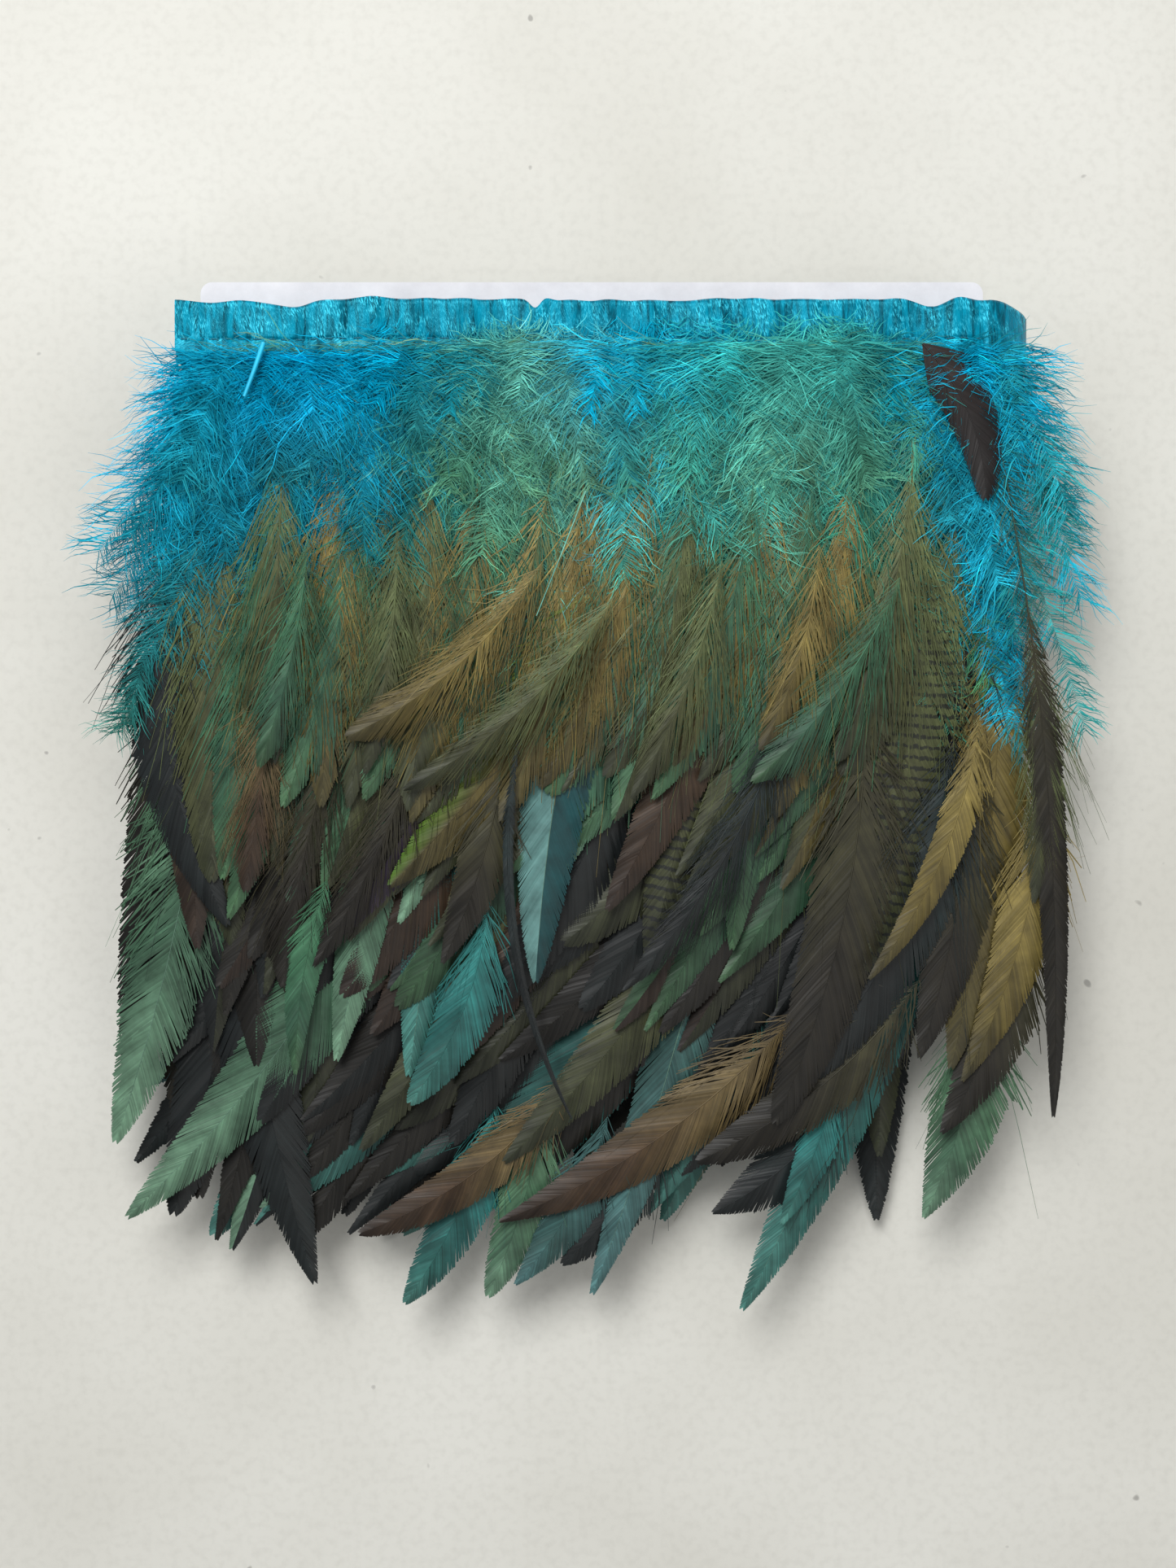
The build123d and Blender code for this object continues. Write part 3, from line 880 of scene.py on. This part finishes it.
# Where the folded top edge dips and rises: x, height, spread
EDGE_WAVES = [
    (-96, -0.9, 5), (-77, -1.9, 6), (-57, 0.9, 6), (-35, 0.4, 10), (-16, -2.4, 1.8),
    (-14, 0.9, 2.2), (10, -0.3, 9), (40, 0.3, 12), (72, 0.4, 6), (83, -2.0, 4), (90, 0.9, 3),
]


def pucker(x, y, seed):
    """How far the gathered cloth stands off its flat face."""
    gathers = np.sin(x / 1.9 + 1.7 * np.sin(x / 9 + seed)) * 0.24
    gathers = gathers + np.sin(x / 0.9 + 2 * np.sin(x / 5 + 2 * seed) + y / 6) * 0.09
    swell = np.sin(x / 13 + seed) * 0.3 + np.sin(x / 7.3 + 2 * seed) * 0.16
    share = np.clip(1 + (y + 9.5) / 9.5, 0, 1)
    seam = 0.32 * np.exp(-(((y - STITCH_Y) / 0.45) ** 2))
    return gathers * (0.5 + share) + swell * share - seam


def top_edge(x, seed):
    """Height of the fold along the tape."""
    if seed:
        return 0.35 * np.sin(x / 11 + seed) + 0.2 * np.sin(x / 4.7 + 2 * seed)
    rise = 0.15 * np.sin(x / 4.1) + 0.14 * np.sin(x / 1.9 + np.sin(x / 6.0))
    for at, height, spread in EDGE_WAVES:
        rise = rise + height * np.exp(-(((x - at) / spread) ** 2))
    return rise


def cloth_object(name, grid, flat_xy, material):
    """A sheet from a grid of points, with a map in millimetres of flat cloth."""
    rows, columns = grid.shape[:2]
    points = (grid.reshape(-1, 3) + (TAPE_X, TAPE_Y, 0)) * MM
    i = np.arange(rows - 1)[:, None] * columns
    j = np.arange(columns - 1)[None]
    faces = np.stack([i + j, i + j + 1, i + columns + j + 1, i + columns + j], -1)
    mesh = bpy.data.meshes.new(name)
    mesh.from_pydata(points.tolist(), [], faces.reshape(-1, 4).tolist())
    layer = mesh.uv_layers.new(name="cloth", do_init=False)
    order = np.array([v for p in mesh.polygons for v in p.vertices])
    layer.uv.foreach_set("vector", flat_xy.reshape(-1, 2)[order].astype(np.float32).ravel())
    baked = mesh.uv_layers.new(name="OFBake", do_init=False)
    span = flat_xy.reshape(-1, 2)
    unit = (span - span.min(0)) / (span.max(0) - span.min(0))
    baked.uv.foreach_set("vector", unit[order].astype(np.float32).ravel())
    mesh.shade_smooth()
    return add_object(name, mesh, material)


def folded_section():
    """Flat distance, y and z across the folded tape, from its front lower edge."""
    radius = FOLD_RADIUS
    straight = TAPE_HEIGHT - radius
    whole = 2 * straight + math.pi * radius
    seam = STITCH_Y + TAPE_HEIGHT + np.array([-0.7, -0.45, -0.2, 0, 0.2, 0.45, 0.7])
    at = np.sort(np.concatenate([np.linspace(0, whole, 34), seam]))
    turn = np.clip((at - straight) / radius, 0, math.pi)
    y = np.where(at < straight, at - TAPE_HEIGHT,
                 np.where(at > whole - straight, whole - at - TAPE_HEIGHT,
                          -radius + radius * np.sin(turn)))
    z = radius * np.cos(turn)
    return at, y, z, whole


def tape_along(pass_name, x_from, x_to, seed, body, outward):
    """One straight pass of folded tape, gathered by its stitches."""
    columns = int((x_to - x_from) / 0.55)
    x = np.linspace(x_from, x_to, columns)[None, :]
    at, y, z, whole = folded_section()
    y, z = y[:, None], z[:, None] * outward
    lift = top_edge(x, seed) * (1 + y / TAPE_HEIGHT)
    stand = pucker(x, y, seed) * np.sign(z) * np.minimum(np.abs(z) / FOLD_RADIUS, 1)
    grid = np.stack(np.broadcast_arrays(x, y + lift, pass_z(pass_name) + z + stand), -1)
    flat = np.stack(np.broadcast_arrays(x, at[:, None] * np.ones_like(x)), -1)
    piece = cloth_object(pass_name + "_ribbon", grid[:, ::outward], flat[:, ::outward], SATIN)
    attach(piece, body)
    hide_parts(pass_name + "_tape")


def stitch_shape():
    """Model one stitch: a short bar of thread, round in section, lying along x."""
    bpy.ops.object.select_all(action="DESELECT")
    bpy.ops.mesh.primitive_uv_sphere_add(segments=6, ring_count=5, radius=0.5)
    bpy.ops.transform.rotate(value=math.pi / 2, orient_axis="Y", center_override=(0, 0, 0))
    bpy.ops.object.transform_apply()
    bar = bpy.context.object
    points = np.array([v.co[:] for v in bar.data.vertices]) * (2.5, 0.5, 0.34)  # mm
    faces = [tuple(p.vertices) for p in bar.data.polygons]
    bpy.data.objects.remove(bar)
    return points, faces


STITCH = stitch_shape()


def sewn_row(pass_name, x_from, x_to, seed, body, outward):
    """The stitches of one pass, each drawn down into the gathers."""
    shape, shape_faces = STITCH
    count = int((x_to - x_from) / STITCH_PITCH)
    first = (x_from + x_to - (count - 1) * STITCH_PITCH) / 2
    x = first + STITCH_PITCH * np.arange(count)[:, None] + shape[None, :, 0]
    lift = top_edge(x, seed) * (1 + STITCH_Y / TAPE_HEIGHT)
    out = FOLD_RADIUS + pucker(x, STITCH_Y, seed) + shape[:, 2] + 0.1
    y = STITCH_Y + lift + shape[:, 1]
    spots = np.stack([x + TAPE_X, y + TAPE_Y, pass_z(pass_name) + outward * out], -1)
    faces = [
        tuple(i * len(shape) + v for v in face[::outward])
        for i in range(count)
        for face in shape_faces
    ]
    mesh = bpy.data.meshes.new(pass_name + "_thread")
    mesh.from_pydata((spots.reshape(-1, 3) * MM).tolist(), [], faces)
    mesh.shade_smooth()
    thread = add_object(mesh.name, mesh, THREAD)
    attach(thread, body)
    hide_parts(pass_name + "_stitches")


LEFT_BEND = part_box("back_outer_tape")[0][0] / MM - TAPE_X
RIGHT_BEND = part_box("front_inner_tape")[1][0] / MM - TAPE_X
INNER_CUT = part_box("back_inner_tape")[0][0] / MM - TAPE_X
# Each pass of tape: from x to x, seed of its gathers, body, and which way it faces
PASSES = {
    "front_outer": (CUT_END, PASS_END, 0.0, "outer_pass", 1),
    "front_inner": (LEFT_BEND, RIGHT_BEND, 1.3, "wound_passes", 1),
    "back_inner": (INNER_CUT, RIGHT_BEND, 2.1, "wound_passes", -1),
    "back_outer": (LEFT_BEND, PASS_END, 3.4, "wound_passes", -1),
}
for pass_name, (x_from, x_to, seed, body, outward) in PASSES.items():
    tape_along(pass_name, x_from, x_to, seed, body, outward)
    sewn_row(pass_name, x_from, x_to, seed, body, outward)


def tape_bend(name, node, x_at, side, above, below, sag):
    """Folded tape that turns round one end of the card, from one pass to another."""
    z_above, z_below = pass_z(above), pass_z(below)
    middle, bend_radius = (z_above + z_below) / 2, (z_above - z_below) / 2
    at, y, z, whole = folded_section()
    y, z = y[:, None], z[:, None]
    angles = side * np.linspace(math.pi / 2, -math.pi / 2, 48)[None, :]
    radius = bend_radius + z + 0.35 * np.sin(angles * 5) * np.minimum(bend_radius / 8, 1)
    upper = (np.sin(angles) + 1) / 2
    rise = top_edge(np.array([[x_at]]), PASSES[above][2]) * upper
    rise = rise + top_edge(np.array([[x_at]]), PASSES[below][2]) * (1 - upper)
    y = y + rise * (1 + y / TAPE_HEIGHT)
    y = y - sag * np.cos(angles) ** 2 * (1 + 0.3 * y / TAPE_HEIGHT)
    x = x_at + side * radius * np.cos(angles)
    grid = np.stack([x, y, middle + radius * np.sin(angles)], -1)
    arc = bend_radius * (math.pi / 2 - angles)
    flat = np.stack(np.broadcast_arrays(arc, at[:, None] * np.ones_like(arc)), -1)
    bend = cloth_object(name, grid, flat, SATIN)
    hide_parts(node)
    return bend


left_bend = tape_bend("left_ribbon_bend", "left_tape_bend", LEFT_BEND, -1,
                      "front_inner", "back_outer", 0.4)
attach(left_bend, "wound_passes")
inner_bend = tape_bend("right_inner_ribbon_bend", "right_inner_tape_bend", RIGHT_BEND, 1,
                       "front_inner", "back_inner", 2.0)
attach(inner_bend, "wound_passes")

# The outer bend, which straightens as the outer pass is unwound, is not moved here: it rides on no
# body, its place baked into its mesh
outer_bend = tape_bend("right_outer_ribbon_bend", "right_outer_tape_bend", PASS_END, 1,
                       "front_outer", "back_outer", 3.2)
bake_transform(outer_bend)

for card_slot in bpy.data.objects["winding_card"].material_slots:
    card_slot.material = CARD

# ------------------------------------------------------- inner and back passes

inner_low = height_of("front_inner_tape")[0]


def inner_row(name, slot, seed, count, length, z, dyes, slope=FRONT_SLOPE, **options):
    """A coarser row, for a pass that shows only when the outer one is open or behind."""
    fringe_row(name, "wound_passes", slot, np.random.default_rng(seed), count, -94, 92,
               length, z, dyes, slope, pitch=1.2, **options)


inner_row("front_inner_long_feathers", "black_vane", 17, 26, 226, inner_low - 1.2,
          LONG_DYES, bare=True, blade_from=0.4)
inner_row("front_inner_middle_feathers", "olive_vane", 18, 24, 176, inner_low, MID_DYES,
          bare=True, turn=0.8, blade_from=0.35)
inner_row("front_inner_short_feathers", "olive_vane", 19, 24, 124, inner_low + 1.2,
          TOP_DYES, turn=0.6, loose=0.5)
inner_row("back_inner_long_feathers", "black_vane", 27, 20, 214,
          height_of("back_inner_tape")[0], LONG_DYES, FRONT_SLOPE * 0.65, bare=True,
          blade_from=0.4)
back_low, back_high = height_of("back_outer_tape")
inner_row("back_outer_long_feathers", "black_vane", 28, 26, 222, back_high, LONG_DYES,
          BACK_SLOPE, bare=True, turn=0.5, blade_from=0.4)
inner_row("back_outer_middle_feathers", "olive_vane", 29, 24, 176, back_high - 1.5,
          MID_DYES, BACK_SLOPE * 0.8, bare=True, turn=0.5, blade_from=0.35)
inner_row("back_outer_short_feathers", "olive_vane", 30, 24, 124, back_low, TOP_DYES,
          BACK_SLOPE * 0.5, turn=0.4, loose=0.5)


def inner_down(prefix, z, rise, seed):
    """The down of an inner or back pass, one piece for each CAD bed."""
    for number, (end, x_from, x_to) in enumerate((("left", -96, 0), ("right", 0, 96))):
        rng = np.random.default_rng(seed + number)
        batch = Batch(cells=70)
        for count, y, length, reach in ((22, -14, 60, 17), (22, -13, 42, 15), (18, -12, 26, 11)):
            down_row(batch, rng, count, x_from, x_to, y, length, reach, z, 0.0,
                     pitch=0.8, rise=rise, thin=0.26)
        place(batch, f"{prefix}_{end}_barbs", DOWN, "wound_passes", "blue_down",
              f"{prefix}_{end}")


inner_down("front_inner_down", height_of("front_inner_down_left")[0] + 2.5, 0.4, 60)
inner_down("back_outer_down", 3.6, -0.35, 70)


def plain_fringe(prefix, count, node_slope, lean, length, width):
    """The evenly strung CAD feathers of an inner or back pass, barb by barb."""
    for i in range(count):
        quill_x = -84 + 172 * i / (count - 1)
        tip_x = quill_x - lean * (1 + 0.3 * math.sin(2.1 * i))
        tip_y = -length + 14 * math.sin(1.7 * i + 1)
        node = f"{prefix}_{i + 1}"
        z = height_of(node)[0] + node_slope * (ROOT_Y - tip_y) + 0.2
        shaft = bowed_shaft(quill_x, tip_x, tip_y, 5, z, node_slope)
        size = math.hypot(tip_x - quill_x, tip_y - ROOT_Y) * 1.01
        batch = Batch()
        feather(batch, np.random.default_rng(200 + 10 * i + count), shaft, size, width,
                BLACK if i % 2 == 0 else OLIVE, pitch=1.0)
        place(batch, node + "_barbs", VANE, "wound_passes", slot_of[node], node)


plain_fringe("front_inner_feather", 6, FRONT_SLOPE, 22, 215, 22)
plain_fringe("back_inner_feather", 5, math.tan(math.radians(1.3)), 18, 205, 22)
plain_fringe("back_outer_feather", 7, BACK_SLOPE, 16, 220, 24)

# ------------------------------------------------------------------- stage

bpy.ops.object.select_all(action="DESELECT")
bpy.ops.mesh.primitive_plane_add(size=4.0, location=(0, 0, 0))
floor = bpy.context.object
floor.name = "floor"
floor.data.materials.append(painted_floor())

CAMERA_HEIGHT = 0.62
VIEW_HEIGHT = 391.3  # what the view takes in at the tape's height, mm
camera = bpy.data.cameras.new("camera")
viewer = bpy.data.objects.new("camera", camera)
bpy.context.scene.collection.objects.link(viewer)
viewer.location = ((TAPE_X - 2.95) * MM, (TAPE_Y - 120.9) * MM, CAMERA_HEIGHT)
camera.sensor_fit = "VERTICAL"
camera.sensor_height = 24.0
camera.lens = 24.0 * (CAMERA_HEIGHT - TAPE_Z * MM) / (VIEW_HEIGHT * MM)
camera.clip_start = 0.01
bpy.context.scene.camera = viewer


def area_light(name, spot, target, size, watts, colour=(1, 1, 1)):
    """A soft box aimed at a point."""
    lamp = bpy.data.lights.new(name, "AREA")
    lamp.shape = "SQUARE"
    lamp.size = size
    lamp.energy = watts
    lamp.color = colour
    thing = bpy.data.objects.new(name, lamp)
    bpy.context.scene.collection.objects.link(thing)
    thing.location = spot
    aim = Vector(target) - Vector(spot)
    thing.rotation_euler = aim.to_track_quat("-Z", "Y").to_euler()
    return thing


area_light("key", (-0.3, 0.75, 1.3), (0, 0.0, 0), 0.7, 19.5)
area_light("fill", (0.9, -0.7, 1.5), (0, 0, 0), 1.2, 4.5, (1, 0.96, 0.9))
world = bpy.data.worlds.new("studio")
world.use_nodes = True
world.node_tree.nodes["Background"].inputs["Color"].default_value = (0.95, 0.97, 1, 1)
world.node_tree.nodes["Background"].inputs["Strength"].default_value = 0.32
bpy.context.scene.world = world
bpy.context.scene.view_settings.view_transform = "Standard"
